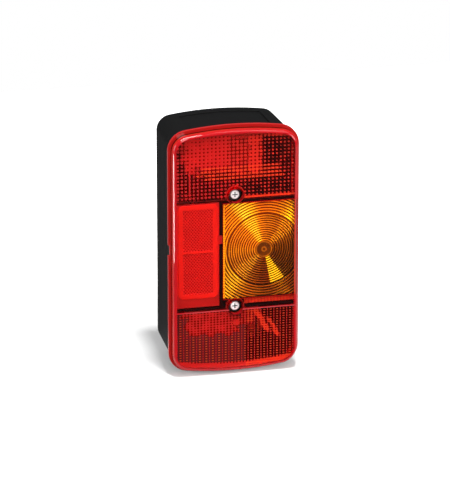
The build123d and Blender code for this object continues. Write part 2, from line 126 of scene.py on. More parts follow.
# Rings moulded behind the amber window, about the bulb's axis. The hub's steps are
# dark but for the light ones. A zone has a number of rings, their pitch, their height,
# and how far through the pitch the crest ends.
RING_CENTRE = (21.5 * MM, 0.0)
RING_HUB = 6.3 * MM
HUB_STEPS = 6
HUB_LIGHT = (1, 5)
RING_ZONES = ((12, 1.74 * MM, 0.42 * MM, 0.50), (11, 2.02 * MM, 0.55 * MM, 0.44))
RING_GAP = 0.7 * MM
RING_STEPS = 144
WINDOW_MARGIN = 0.6 * MM
WINDOW_LEFT_MARGIN = 1.9 * MM
AMBER_WALL = 7.5 * MM

# How near the red lens's front and inner face a face of it counts as flat
FRONT_FLAT = 0.01 * MM
INNER_FLAT = 0.05 * MM

# Reflex reflector: its pips, its border, and the span of its panel in x and z
PIP = (2.2 * MM, 2.6 * MM)
PIP_RISE = 0.35 * MM
REFLEX_MARGIN = 3.6 * MM
REFLEX_CORNER = 3.5 * MM
REFLEX_STEP = 0.6 * MM
REFLEX_SLOPE = 0.3 * MM
REFLEX_EDGE = 0.4 * MM
REFLEX_RAISED = 0.5 * MM
REFLEX_BACK_GAP = 0.02 * MM
REFLEX_DIVIDER = (0.3 * MM, 1.9 * MM)
REFLEX_GRID = 0.3 * MM
REFLEX_SPAN = ((-46.3 * MM, -12.1 * MM), (-41.4 * MM, 38.0 * MM))


# ------------------------------------------------------------------ meshes
def build(name, points, faces, material, body, crease=None):
    """Mesh object at the origin, smooth except over edges sharper than crease degrees."""
    mesh = bpy.data.meshes.new(name)
    mesh.from_pydata(np.asarray(points).tolist(), [], faces)
    mesh.validate()
    if crease is not None:
        mesh.shade_smooth()
        mesh.set_sharp_from_angle(angle=math.radians(crease))
    mesh.materials.append(material)
    piece = bpy.data.objects.new(name, mesh)
    bpy.context.scene.collection.objects.link(piece)
    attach(piece, body)
    return piece


def face_centres(mesh):
    """Middle of each face, as rows of x, y and z."""
    middle = np.empty(len(mesh.polygons) * 3)
    mesh.polygons.foreach_get("center", middle)
    return middle.reshape(-1, 3)


def finish_faces(mesh, finishes, kinds):
    """Gives each face its finish: 0 for the mesh's own, 1 and on for the added ones."""
    for finish in finishes:
        mesh.materials.append(finish)
    mesh.polygons.foreach_set("material_index", kinds.astype(np.int32))


def loop_walls(index):
    """Quads between each ring of point numbers and the next, each ring a closed loop."""
    after = np.roll(index, -1, 1)
    return np.stack([index[:-1], index[1:], after[1:], after[:-1]], -1).reshape(-1, 4)


def closed_slab(front, back):
    """Closed block between two height fields over one grid of (row, column) points,
    front towards -Y: the two fields and the four walls that join their borders."""
    rows, columns = front.shape[:2]
    index = np.arange(rows * columns).reshape(rows, columns)
    corners = (index[:-1, :-1], index[:-1, 1:], index[1:, 1:], index[1:, :-1])
    skin = np.stack(corners, -1).reshape(-1, 4)
    border = np.concatenate([index[0, :-1], index[:-1, -1], index[-1, :0:-1], index[:0:-1, 0]])
    after = np.roll(border, -1)
    behind = rows * columns
    walls = np.stack([border, border + behind, after + behind, after], -1)
    faces = np.concatenate([skin, skin[:, ::-1] + behind, walls])
    return np.concatenate([front.reshape(-1, 3), back.reshape(-1, 3)]), faces.tolist()


def swell(t):
    """Cross-section of a row of pads: 1 - (2 frac(t) - 1)^2, so 0 at each whole t."""
    return 1 - (2 * (t - np.floor(t)) - 1) ** 2


def arc(centre, radius, start, end, count):
    """Points of a circle's arc in (x, z), from start to end degrees, both included."""
    turn = np.radians(np.linspace(start, end, count))
    return np.stack([centre[0] + radius * np.cos(turn), centre[1] + radius * np.sin(turn)], -1)


def crown_outline(inset):
    """Upper half of the lens's outline, inset inside its edge, from right to left: a
    corner arc about a centre shared by all insets, the crown arc, and its mirror."""
    crown_centre = HALF_HEIGHT - CROWN_RADIUS
    corner_x = HALF_WIDTH - CORNER_RADIUS
    reach = CROWN_RADIUS - CORNER_RADIUS
    corner_z = crown_centre + math.sqrt(reach**2 - corner_x**2)
    join = 90 - math.degrees(math.asin(corner_x / reach))
    corner = arc((corner_x, corner_z), CORNER_RADIUS - inset, 0, join, CORNER_STEPS)
    crown = arc((0, crown_centre), CROWN_RADIUS - inset, join, 180 - join, CROWN_STEPS)
    return np.concatenate([corner, crown[1:-1], corner[::-1] * (-1, 1)])


def field_outline(foot):
    """Outline of a red field: the lens's crown down to a straight foot, with a round
    bay in the foot that clears the screw's boss."""
    crown = crown_outline(FIELD_INSET)
    half_turn = math.degrees(math.asin((foot - SCREW_Z) / BOSS_CLEARANCE))
    bay = arc((0, SCREW_Z), BOSS_CLEARANCE, 180 - half_turn, half_turn, BAY_STEPS)
    return np.concatenate([crown, [(crown[-1, 0], foot)], bay, [(crown[0, 0], foot)]])


def prism(outline, near, far):
    """Closed prism of an outline in (x, z), anticlockwise seen from the front, between
    two depths: far is its front."""
    count = len(outline)
    x, z = outline.T
    front = np.stack([x, np.full(count, -far), z], -1)
    back = np.stack([x, np.full(count, -near), z], -1)
    walls = [[i, i + count, (i + 1) % count + count, (i + 1) % count] for i in range(count)]
    caps = [list(range(count)), list(range(2 * count - 1, count - 1, -1))]
    return np.concatenate([front, back]), caps + walls


def trim(piece, outline, near, far):
    """Keeps what of a piece lies inside the outline's prism."""
    points, faces = prism(outline, near, far)
    mesh = bpy.data.meshes.new("trim")
    mesh.from_pydata(points.tolist(), [], faces)
    cutter = bpy.data.objects.new("trim", mesh)
    bpy.context.scene.collection.objects.link(cutter)
    cut = piece.modifiers.new("trim", "BOOLEAN")
    cut.operation = "INTERSECT"
    cut.solver = "MANIFOLD"
    cut.object = cutter
    shown = piece.evaluated_get(bpy.context.evaluated_depsgraph_get())
    piece.data = bpy.data.meshes.new_from_object(shown)
    piece.modifiers.clear()
    bpy.data.objects.remove(cutter)
    piece.data.shade_smooth()
    piece.data.set_sharp_from_angle(angle=math.radians(SHEET_CREASE))


def turned(profile, centre, steps):
    """Closed surface of revolution about an axis along Y: the profile's (radius, depth)
    points carried round, between a first and a last point that lie on the axis."""
    turn = np.arange(steps) / steps * 2 * np.pi
    radius, depth = np.asarray(profile)[1:-1].T
    x = centre[0] + radius[:, None] * np.cos(turn)
    z = centre[1] + radius[:, None] * np.sin(turn)
    y = np.broadcast_to(-depth[:, None], x.shape)
    poles = [(centre[0], -profile[0][1], centre[1]), (centre[0], -profile[-1][1], centre[1])]
    points = np.concatenate([np.stack([x, y, z], -1).reshape(-1, 3), poles])
    index = np.arange(len(radius) * steps).reshape(-1, steps)
    after = np.roll(index, -1, 1).tolist()
    first, last = len(points) - 2, len(points) - 1
    caps = [[first, i, j] for i, j in zip(index[0].tolist(), after[0])]
    caps += [[last, j, i] for i, j in zip(index[-1].tolist(), after[-1])]
    return points, loop_walls(index).tolist() + caps


def smooth(t, low, high):
    """0 below low, 1 above high and 3 t^2 - 2 t^3 between."""
    t = np.clip((t - low) / (high - low), 0, 1)
    return t * t * (3 - 2 * t)


def band(t, low, high, soft):
    """1 between low and high with soft flanks, 0 outside."""
    return smooth(t, low - soft, low + soft) * (1 - smooth(t, high - soft, high + soft))


def patch(x, z, level, across, up):
    """Patch of painted light on a field: level inside two spans of (low, high, soft edge)."""
    return level * band(x, *across) * band(z, *up)


def pad_sheet(name, outline, cell, steps, rise, pattern, finishes):
    """Sheet behind the lens with rows of pads on both sides. Its front is half the
    thickness + rise_x swell(x / cell_x) + rise_z swell(z / cell_z) ahead of a middle
    plane, and its back is as far behind it, with the rises times SHEET_BACK_SHARE.
    The pattern gives each face its finish, and the sheet is cut to its outline."""
    low, high = outline.min(0), outline.max(0)
    cell, steps = np.array(cell), np.array(steps)
    first, last = np.floor(low / cell), np.ceil(high / cell)
    u, v = (np.arange(first[i] * steps[i], last[i] * steps[i] + 1) / steps[i] for i in (0, 1))
    x, z = np.meshgrid(u * cell[0], v * cell[1])
    relief = rise[0] * swell(u)[None, :] + rise[1] * swell(v)[:, None]
    middle = SHEET_FRONT - sum(rise) - SHEET_THICKNESS / 2
    front = np.stack([x, -(middle + SHEET_THICKNESS / 2 + relief), z], -1)
    back = np.stack([x, -(middle - SHEET_THICKNESS / 2 - relief * SHEET_BACK_SHARE), z], -1)
    points, faces = closed_slab(front, back)
    sheet = build(name, points, faces, finishes[0], "lens", crease=SHEET_CREASE)
    u, v = np.meshgrid((u[1:] + u[:-1]) / 2, (v[1:] + v[:-1]) / 2)
    kinds = pattern(u * cell[0] / MM, v * cell[1] / MM, 1 - swell(u), 1 - swell(v)).ravel()
    kinds = np.concatenate([kinds, kinds, np.zeros(len(faces) - 2 * len(kinds))])
    finish_faces(sheet.data, finishes[1:], kinds)
    trim(sheet, outline, middle - TRIM_REACH, middle + TRIM_REACH)


# --------------------------------------------------------------- materials
def add_node(tree, kind, **settings):
    """New shader node with its settings and, for names that are sockets, its values."""
    node = tree.nodes.new(kind)
    for name, value in settings.items():
        if name in node.inputs:
            node.inputs[name].default_value = value
        else:
            setattr(node, name, value)
    return node


def new_group(name, inputs, *more_outputs):
    """Shader node group with number inputs and outputs, still empty, and its end nodes."""
    tree = bpy.data.node_groups.new(name, "ShaderNodeTree")
    for label, value in inputs.items():
        socket = tree.interface.new_socket(label, in_out="INPUT", socket_type="NodeSocketFloat")
        socket.default_value = value
    for label in ("Shade", "Height", *more_outputs):
        tree.interface.new_socket(label, in_out="OUTPUT", socket_type="NodeSocketFloat")
    return tree, tree.nodes.new("NodeGroupInput"), tree.nodes.new("NodeGroupOutput")


def feed(tree, value, socket):
    """Gives an input socket its value: another socket, a number or a colour."""
    if isinstance(value, bpy.types.NodeSocket):
        tree.links.new(value, socket)
    else:
        socket.default_value = value


def coordinates(tree, kind="Object"):
    """X, Y and Z sockets of a point in its object's own frame, or of a direction."""
    place = add_node(tree, "ShaderNodeTexCoord")
    split = add_node(tree, "ShaderNodeSeparateXYZ")
    tree.links.new(place.outputs[kind], split.inputs[0])
    return split.outputs


def combine(tree, operation, a, b=0.0):
    """Number socket for a math operation on two sockets or numbers."""
    node = add_node(tree, "ShaderNodeMath", operation=operation)
    feed(tree, a, node.inputs[0])
    feed(tree, b, node.inputs[1])
    return node.outputs[0]


def distance(tree, a, b):
    """Number socket for sqrt(a^2 + b^2)."""
    square = combine(tree, "ADD", combine(tree, "MULTIPLY", a, a), combine(tree, "MULTIPLY", b, b))
    return combine(tree, "SQRT", square)


def threshold(tree, value, low, high, start=0.0, end=1.0):
    """Number socket that goes softly from start to end as value goes from low to high."""
    soft = add_node(tree, "ShaderNodeMapRange", interpolation_type="SMOOTHSTEP")
    limits = {"Value": value, "From Min": low, "From Max": high, "To Min": start, "To Max": end}
    for name, limit in limits.items():
        feed(tree, limit, soft.inputs[name])
    return soft.outputs["Result"]


def mix(tree, factor, a, b, **settings):
    """Socket that goes from a to b with the factor, for colours unless it is told."""
    settings.setdefault("data_type", "RGBA")
    node = add_node(tree, "ShaderNodeMix", **settings)
    for name, value in (("Factor", factor), ("A", a), ("B", b)):
        feed(tree, value, node.inputs[name])
    return node.outputs["Result"]


def multiply_colours(tree, a, b):
    """Colour socket for the product of two colours."""
    return mix(tree, 1.0, a, b, blend_type="MULTIPLY")


def around_one(tree, value, amount):
    """Number socket that swings about 1 by amount as value goes from 0 to 1."""
    swing = combine(tree, "MULTIPLY", combine(tree, "SUBTRACT", value, 0.5), amount)
    return combine(tree, "ADD", swing, 1.0)


def make_grain():
    """Moulded or cast grain: fine noise in Height, slow mottling in Shade."""
    tree, start, end = new_group("grain", {"Scale": 2000.0, "Mottle Scale": 60.0, "Mottle": 0.1})
    place = add_node(tree, "ShaderNodeTexCoord")
    fine = add_node(tree, "ShaderNodeTexNoise", Detail=4.0, Roughness=0.6)
    slow = add_node(tree, "ShaderNodeTexNoise", Detail=3.0)
    for noise, scale in ((fine, "Scale"), (slow, "Mottle Scale")):
        tree.links.new(place.outputs["Object"], noise.inputs["Vector"])
        tree.links.new(start.outputs[scale], noise.inputs["Scale"])
    tree.links.new(around_one(tree, slow.outputs[0], start.outputs["Mottle"]), end.inputs["Shade"])
    tree.links.new(fine.outputs[0], end.inputs["Height"])
    return tree


def make_streaks():
    """Rolling or turning marks: noise drawn out along one axis, in Height and Shade."""
    tree, start, end = new_group("streaks", {"Scale": 900.0, "Stretch": 0.04, "Mottle": 0.2})
    x, y, z = coordinates(tree)
    join = add_node(tree, "ShaderNodeCombineXYZ")
    noise = add_node(tree, "ShaderNodeTexNoise", Detail=5.0, Roughness=0.65)
    tree.links.new(combine(tree, "MULTIPLY", x, start.outputs["Stretch"]), join.inputs["X"])
    tree.links.new(y, join.inputs["Y"])
    tree.links.new(z, join.inputs["Z"])
    tree.links.new(join.outputs[0], noise.inputs["Vector"])
    tree.links.new(start.outputs["Scale"], noise.inputs["Scale"])
    tree.links.new(around_one(tree, noise.outputs[0], start.outputs["Mottle"]), end.inputs["Shade"])
    tree.links.new(noise.outputs[0], end.inputs["Height"])
    return tree


def wave(tree, value, pitch):
    """Number socket that rises from 0 at each whole pitch of value to 1 half way."""
    fold = combine(tree, "PINGPONG", combine(tree, "DIVIDE", value, pitch), 0.5)
    return combine(tree, "MULTIPLY", fold, 2.0)


def make_pips():
    """Staggered pips: Shade is 1 on two interleaved grids of points and falls to 0
    between them, after cos(x) cos(z)."""
    sizes = {"Pitch X": 0.002, "Pitch Z": 0.002, "Low": 0.2, "High": 0.8}
    tree, start, end = new_group("pips", sizes)
    place = coordinates(tree)
    size = start.outputs
    ups = []
    for axis in "XZ":
        turns = combine(tree, "DIVIDE", place[axis], size[f"Pitch {axis}"])
        ups.append(combine(tree, "COSINE", combine(tree, "MULTIPLY", turns, 2 * math.pi)))
    both = combine(tree, "MULTIPLY", *ups)
    level = combine(tree, "ADD", combine(tree, "MULTIPLY", both, 0.5), 0.5)
    tree.links.new(threshold(tree, level, size["Low"], size["High"]), end.inputs["Shade"])
    tree.links.new(level, end.inputs["Height"])
    return tree


def make_rings():
    """Rings about an axis along Y: Shade is 1 over each ring's middle and 0 between,
    fainter in the hub and dark in the gap between the two zones. Turn is the angle
    about the axis, from 0 to 1, and Zone is 0 inside the gap and 1 outside it."""
    sizes = {"Centre X": 0.0, "Centre Z": 0.0, "Hub Pitch": 0.0026, "Start": 0.0,
             "Pitch": 0.002, "Change": 0.0, "Outer Start": 0.0, "Outer Pitch": 0.002,
             "Low": 0.1, "High": 0.6}
    tree, start, end = new_group("rings", sizes, "Turn", "Zone")
    place = coordinates(tree)
    size = start.outputs
    x, z = (combine(tree, "SUBTRACT", place[axis], size[f"Centre {axis}"]) for axis in "XZ")
    radius = distance(tree, x, z)
    level = combine(tree, "MULTIPLY", wave(tree, radius, size["Hub Pitch"]), 0.45)
    for first, pitch in (("Start", "Pitch"), ("Change", None), ("Outer Start", "Outer Pitch")):
        beyond = combine(tree, "GREATER_THAN", radius, size[first])
        ridges = 0.0
        if pitch:
            ridges = wave(tree, combine(tree, "SUBTRACT", radius, size[first]), size[pitch])
        level = mix(tree, beyond, level, ridges, data_type="FLOAT")
    tree.links.new(threshold(tree, level, size["Low"], size["High"]), end.inputs["Shade"])
    tree.links.new(level, end.inputs["Height"])
    turn = combine(tree, "DIVIDE", combine(tree, "ARCTAN2", z, x), 2 * math.pi)
    tree.links.new(combine(tree, "ADD", turn, 0.5), end.inputs["Turn"])
    tree.links.new(combine(tree, "GREATER_THAN", radius, size["Change"]), end.inputs["Zone"])
    return tree


def new_material(name):
    """New material, its node tree and its Principled node."""
    material = bpy.data.materials.new(name)
    material.use_nodes = True
    tree = material.node_tree
    return material, tree, tree.nodes["Principled BSDF"]


def pattern_outputs(tree, pattern, values):
    """Outputs of a pattern group put into a material with its values."""
    group = add_node(tree, "ShaderNodeGroup", node_tree=pattern)
    for label, value in values.items():
        group.inputs[label].default_value = value
    return group.outputs


def surface(name, pattern, values, colour, roughness, bump, **settings):
    """Material whose colour and roughness follow a pattern group's Shade, with its
    Height as bump. Returns the material and its Principled node."""
    material, tree, shader = new_material(name)
    look = pattern_outputs(tree, pattern, values)
    tint = multiply_colours(tree, (*colour, 1), look["Shade"])
    tree.links.new(tint, shader.inputs["Base Color"])
    rough = combine(tree, "MULTIPLY", look["Shade"], roughness)
    tree.links.new(rough, shader.inputs["Roughness"])
    if bump:
        dent = add_node(tree, "ShaderNodeBump", Strength=bump, Distance=BUMP_HEIGHT)
        tree.links.new(look["Height"], dent.inputs["Height"])
        tree.links.new(dent.outputs[0], shader.inputs["Normal"])
    for label, value in settings.items():
        shader.inputs[label.replace("_", " ")].default_value = value
    return material, shader


def let_lamps_through(material, shader, colour):
    """Clear plastic or glass: rays to the lamps pass straight through it, tinted."""
    tree = material.node_tree
    path = add_node(tree, "ShaderNodeLightPath")
    straight = add_node(tree, "ShaderNodeBsdfTransparent", Color=(*colour, 1))
    either = add_node(tree, "ShaderNodeMixShader")
    tree.links.new(path.outputs["Is Shadow Ray"], either.inputs[0])
    tree.links.new(shader.outputs[0], either.inputs[1])
    tree.links.new(straight.outputs[0], either.inputs[2])
    tree.links.new(either.outputs[0], tree.nodes["Material Output"].inputs["Surface"])
    return material


BUMP_HEIGHT = 0.02 * MM
GRAIN = make_grain()
STREAKS = make_streaks()
PIPS = make_pips()
RINGS = make_rings()


def optic(name, pattern, values, paint, metallic, roughness):
    """Prismatic moulding. Its colour is the socket that paint makes from the pattern's
    outputs, and its metallic share stands for light that prisms throw straight back."""
    material, tree, shader = new_material(name)
    colour = paint(tree, pattern_outputs(tree, pattern, values))
    tree.links.new(colour, shader.inputs["Base Color"])
    shader.inputs["Metallic"].default_value = metallic
    shader.inputs["Roughness"].default_value = roughness
    return material


def colour_ramp(tree, value, stops):
    """Colour socket that runs through (position, colour) stops as value goes from 0 to 1."""
    ramp = add_node(tree, "ShaderNodeValToRGB")
    elements = ramp.color_ramp.elements
    while len(elements) < len(stops):
        elements.new(0.5)
    for element, (position, colour) in zip(elements, stops):
        element.position = position
        element.color = (*colour, 1)
    tree.links.new(value, ramp.inputs[0])
    return ramp.outputs["Color"]


def banded(name, axis, start, end, stops, roughness):
    """Plastic whose colour runs through (position, colour) stops along an axis, from
    position 0 at start to 1 at end."""
    material, tree, shader = new_material(name)
    along = add_node(tree, "ShaderNodeMapRange")
    along.inputs["From Min"].default_value = start
    along.inputs["From Max"].default_value = end
    tree.links.new(coordinates(tree)[axis], along.inputs["Value"])
    tree.links.new(colour_ramp(tree, along.outputs["Result"], stops), shader.inputs["Base Color"])
    shader.inputs["Roughness"].default_value = roughness
    return material


def plastic(name, colour, roughness, bump=0.25, **settings):
    """Moulded plastic, rubber or board."""
    values = {"Scale": 2500.0, "Mottle": 0.1}
    return surface(name, GRAIN, values, colour, roughness, bump, **settings)[0]


def metal(name, colour, roughness, **settings):
    """Rolled, drawn or turned metal."""
    settings.setdefault("Metallic", 1.0)
    return surface(name, STREAKS, {"Mottle": 0.2}, colour, roughness, 0.15, **settings)[0]


def clear(name, colour, shadow_colour, roughness, mottle=0.06):
    """Clear moulding or glass that shows what is behind it."""
    values = {"Scale": 300.0, "Mottle Scale": 25.0, "Mottle": mottle}
    material, shader = surface(name, GRAIN, values, colour, roughness, 0.0, Transmission_Weight=1.0)
    return let_lamps_through(material, shader, shadow_colour)


# Painted light and shade along the red side wall, from its flange's back to the front: bright
# flange, a painted shadow line, then bright bands to the round edge
RIM_PAINTED_BANDS = ((0.0, (0.56, 0.014, 0.016)), (0.28, (0.56, 0.014, 0.016)),
             (0.31, (0.42, 0.009, 0.008)), (0.34, (0.42, 0.009, 0.008)),
             (0.36, (0.008, 0.001, 0.001)), (0.56, (0.008, 0.001, 0.001)),
             (0.62, (0.55, 0.032, 0.012)), (0.75, (0.50, 0.010, 0.010)),
             (1.0, (0.40, 0.006, 0.010)))
# Painted light and shade round the amber edge, from its side to its face: bright at both ends,
# darker between
AMBER_PAINTED_BANDS = ((0.0, (0.50, 0.075, 0.008)), (0.30, (0.50, 0.075, 0.008)),
               (0.45, (0.20, 0.020, 0.012)), (0.88, (0.16, 0.016, 0.012)),
               (0.97, (0.50, 0.026, 0.008)), (1.0, (0.50, 0.026, 0.008)))
# Screw head in a white painted highlight, down to the foot of its cross in painted shade
SCREW_PAINTED_BANDS = ((0.0, (0.97, 0.97, 0.97)), (0.12, (0.97, 0.97, 0.97)),
               (0.3, (0.25, 0.25, 0.25)), (1.0, (0.12, 0.12, 0.12)))
SCREW_CROSS = 1.6 * MM
# The red and amber rims and the bright screw carry painted light and shade from the bands above.
FINISHES = {
    "red_rim_painted_light": banded("red_rim_painted_light", "Y", lens_high.y, lens_low.y, RIM_PAINTED_BANDS, 0.03),
    "amber_rim_painted_light": banded("amber_rim_painted_light", "Y", lens_low.y + EDGE_ROUND, lens_low.y, AMBER_PAINTED_BANDS, 0.03),
    "black_plastic": plastic("black_plastic", (0.0075, 0.0075, 0.0078), 0.55,
                             Specular_IOR_Level=0.06),
    "red_lens": clear("red_lens", (0.97, 0.13, 0.10), (0.985, 0.36, 0.32), 0.01),
    "amber_lens": clear("amber_lens", (1.0, 0.70, 0.11), (1.0, 0.84, 0.33), 0.01),
    "reflex_red": plastic("reflex_red", (0.49, 0.34, 0.34), 0.3, bump=0.0),
    "white_plastic": plastic("white_plastic", (0.78, 0.78, 0.75), 0.4),
    "seal_rubber": plastic("seal_rubber", (0.022, 0.022, 0.022), 0.7),
    "bright_screw": banded("bright_screw", "Y", screw_low.y, screw_low.y + SCREW_CROSS,
                           SCREW_PAINTED_BANDS, 0.35),
    "rivet_steel": metal("rivet_steel", (0.62, 0.62, 0.62), 0.3),
    "screw_steel": metal("screw_steel", (0.66, 0.65, 0.60), 0.3),
    "brass": metal("brass", (0.78, 0.58, 0.26), 0.3),
    "zinc_steel": metal("zinc_steel", (0.84, 0.85, 0.87), 0.5, Metallic=0.4),
    "fibre": plastic("fibre", (0.30, 0.16, 0.07), 0.6),
    "spring_steel": metal("spring_steel", (0.55, 0.55, 0.55), 0.3),
    "cap_brass": metal("cap_brass", (0.74, 0.62, 0.38), 0.25),
    "black_glass": plastic("black_glass", (0.02, 0.02, 0.02), 0.1, bump=0.0),
    "solder": metal("solder", (0.72, 0.72, 0.70), 0.4),
    "bulb_glass": clear("bulb_glass", (0.98, 0.98, 0.98), (0.97, 0.97, 0.97), 0.0, mottle=0.02),
    "tungsten": metal("tungsten", (0.30, 0.30, 0.30), 0.4),
    "wire_red": plastic("wire_red", (0.55, 0.02, 0.02), 0.35),
    "wire_brown": plastic("wire_brown", (0.20, 0.08, 0.03), 0.35),
    "wire_yellow": plastic("wire_yellow", (0.75, 0.60, 0.03), 0.35),
    "wire_blue": plastic("wire_blue", (0.02, 0.08, 0.45), 0.35),
    "wire_white": plastic("wire_white", (0.80, 0.80, 0.78), 0.35),
}
for part in frame["record"]["subparts"]:
    mesh = nodes[part["node"]].data
    mesh.materials.clear()
    mesh.materials.append(FINISHES[part["material_slot"]])


# ----------------------------------------------------------------- springs
def contact_spring(lamp):
    """Coil spring under a bulb's contact carrier: a round wire carried round a helix about the
    bulb's axis."""
    low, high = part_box(f"spring_{lamp}")
    radius = (high.x - low.x) / 2 - SPRING_WIRE
    turn = np.linspace(0, 2 * np.pi * SPRING_TURNS, SPRING_STEPS * SPRING_TURNS + 1)
    depth = np.linspace(-high.y + SPRING_WIRE, -low.y - SPRING_WIRE, len(turn))
    out = np.stack([np.cos(turn), 0 * turn, np.sin(turn)], -1)
    line = radius * out + np.stack([0 * turn, -depth, 0 * turn], -1)
    line += ((low.x + high.x) / 2, 0, (low.z + high.z) / 2)
    along = np.gradient(line, axis=0)
    along /= np.linalg.norm(along, axis=1, keepdims=True)
    across = np.cross(along, out)
    angle = np.arange(SPRING_SIDES)[:, None] / SPRING_SIDES * 2 * np.pi
    side = np.cos(angle) * out[:, None] + np.sin(angle) * across[:, None]
    points = line[:, None] + SPRING_WIRE * side
    index = np.arange(len(turn) * SPRING_SIDES).reshape(-1, SPRING_SIDES)
    walls = loop_walls(index)[:, (0, 3, 2, 1)]
    faces = walls.tolist() + [index[0, ::-1].tolist(), index[-1].tolist()]
    spring = build(f"contact_spring_{lamp}", points.reshape(-1, 3), faces,
                   FINISHES["spring_steel"], "housing", crease=50)
    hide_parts(f"spring_{lamp}")
    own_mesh(spring)


for lamp in ("upper", "amber", "lower"):
    contact_spring(lamp)


# ------------------------------------------------------------- lens optics
# Finishes of the pads. Their colours are worked out for what shows through the red lens, so they
# aren't red themselves. All but the clear one are painted: painted light, painted shade, orange
# painted highlights and a dimmer painted shade. The lit one changes from left to right.
LIT_SPAN = (-10 * MM, 20 * MM)
LIT_STOPS = ((0.0, (0.37, 0.35, 0.50)), (1.0, (0.43, 0.58, 0.46)))
PAD_FINISHES = (clear("pad_clear", (0.96, 0.92, 0.90), (0.95, 0.90, 0.88), 0.05),
                banded("pad_lit", "X", *LIT_SPAN, LIT_STOPS, 0.3),
                plastic("pad_shade", (0.05, 0.10, 0.10), 0.3, bump=0.0),
                plastic("pad_orange_glint", (0.50, 1.0, 0.45), 0.3, bump=0.0),
                plastic("pad_dim", (0.034, 0.26, 0.42), 0.3, bump=0.0))


def ripple(x, z):
    """Slow unevenness between -1 and 1."""
    return (0.5 * np.sin(0.55 * x + 1.7 * np.sin(0.31 * z))
            + 0.5 * np.sin(0.63 * z + 1.3 * np.sin(0.4 * x)))


def pillow_pattern(x, z, joint_x, joint_z):
    """Upper field in painted light and shade: bright tops that spread over the joints towards the
    upper left and along a few rows as orange painted highlights, a plain lit strip on the left and
    a string of beads at the foot, with painted shade in the joints round the bright parts."""
    off = joint_x + joint_z
    uneven = ripple(x, z)
    shift = 2.0 * uneven
    # glow is the field's painted light: how bright each part of it is drawn
    glow = np.maximum.reduce([
        patch(x + shift, z + shift, 0.66, (-39, -4, 5), (63, 92, 5)),
        patch(x + shift, z, 0.62, (9, 19, 2.5), (58, 88, 3)),
        patch(x, z, 0.38, (-5, 10, 2.5), (58, 88, 3)),
        0.10 * band(x, -48, 4, 5) * (1 - smooth(z, 62, 72)),
        0.9 * smooth(z + x * x / CROWN_DROP, 87, 90)]) + 0.06 * uneven
    in_rows = patch(x + 4 * uneven, z, 1, ROWS_X, ROWS_Z) > 0.5
    rows = (joint_z < 0.16) & (joint_x < 0.75) & in_rows
    strip = (np.abs(x - STRIP_X) < STRIP_HALF) & (z > STRIP_FOOT)
    foot = (np.abs(z - BEADS_Z) < BEADS_HALF) & (x > BEADS_X)
    spread = 0.25 - 0.08 * smooth(x, 0, 15) + 1.35 * glow
    lit = (off < spread) & ~foot & (z > FIELD_FOOT) | strip
    kinds = np.where(lit, LIT, np.where((glow > 0.3) | (z < FIELD_FOOT), SHADE, CLEAR))
    kinds[rows & ~strip] = ORANGE_GLINT
    kinds[foot & (joint_x < 0.8)] = ORANGE_GLINT
    return kinds


def flute_pattern(x, z, joint_x, joint_z):
    """Lower field in painted light and shade: bright beaded upright lines with a column of orange
    painted highlight dots half way between them, filled in over a broad patch on the left, two
    slanting streaks, a round spot and the border, with painted shade and a dimmer painted shade
    between."""
    line = (joint_x > 0.80) & (joint_z < 0.60)
    dot = (joint_x < 0.06) & (joint_z < 0.10)
    uneven = ripple(x, z)
    shift = 1.5 * uneven
    slant = x + 0.53 * (z + 46) + 0.4 * shift
    # glow is the field's painted light: how bright each part of it is drawn
    glow = np.maximum.reduce([
        0.60 * band(x + 2 * shift, -38, 4, 3) * smooth(z + shift, -66, -62),
        0.50 * band(x, 4, 15, 2) * smooth(z, -62, -54),
        0.80 * band(slant, 12.5, 17.5, 1.2) * smooth(z, -68, -61),
        patch(slant, z, 0.70, (19.5, 22.5, 0.9), (-69, -53, 2)),
        smooth(-z + x * x / CROWN_DROP, 85.5, 87.5)]) + 0.06 * uneven
    shut = 0.5 - 0.5 * np.cos(2 * np.pi * x / FLUTE_PITCH)
    lit = line | (shut + joint_z < 1.75 * glow)
    spot = np.hypot(x - SPOT[0], z - SPOT[1])
    lit = lit & ~((spot > SPOT_RADIUS) & (spot < SPOT_RIM)) | (spot < SPOT_RADIUS)
    unlit = np.where(glow > 0.3, SHADE, np.where(x < FLUTE_CHANGE, DIM, CLEAR))
    kinds = np.where(lit, LIT, unlit)
    kinds[dot & ~lit] = ORANGE_GLINT
    kinds[lit & (glow > 0.45) & (x > FLUTE_CHANGE) & (joint_z < 0.5)] = ORANGE_GLINT
    return kinds


def ridge_pattern(x, z, joint_x, joint_z):
    """Row of short upright ridges: orange painted highlights on the crests, painted light on the
    darker joints.
    """
    return np.where(joint_x < 0.55, ORANGE_GLINT, LIT)


def plain_pattern(x, z, joint_x, joint_z):
    """Painted light all over: the lit finish on every face."""
    return np.full(x.shape, LIT)


def bead_pattern(x, z, joint_x, joint_z):
    """Row of beads: the second finish, with the first on their joints."""
    return joint_z < 0.45


def boss_collars():
    """Rings round the screws' bosses, just behind the face: for each, a rectangle of
    radii and depths carried round its screw's axis."""
    (inner, outer), (rear, front) = COLLAR_RADII, COLLAR_DEPTHS
    section = [(inner, front), (outer, front), (outer, rear), (inner, rear)]
    radius, depth = np.array(section).T
    turn = np.arange(COLLAR_STEPS) / COLLAR_STEPS * 2 * np.pi
    index = np.arange(len(section) * COLLAR_STEPS).reshape(len(section), -1)
    walls = loop_walls(np.concatenate([index, index[:1]]))
    points, faces = [], []
    for end in (1, -1):
        x = radius[:, None] * np.cos(turn)
        z = end * SCREW_Z + radius[:, None] * np.sin(turn)
        y = np.broadcast_to(-depth[:, None], x.shape)
        faces += (walls + len(points) * x.size).tolist()
        points.append(np.stack([x, y, z], -1).reshape(-1, 3))
    # The collars take the lit finish: a ring of painted light round each boss.
    build("boss_collars", np.concatenate(points), faces, PAD_FINISHES[LIT], "lens",
          crease=30)


def rectangle(left, right, bottom, top):
    """Outline of a rectangle in (x, z), anticlockwise."""
    return np.array([(right, top), (left, top), (left, bottom), (right, bottom)])


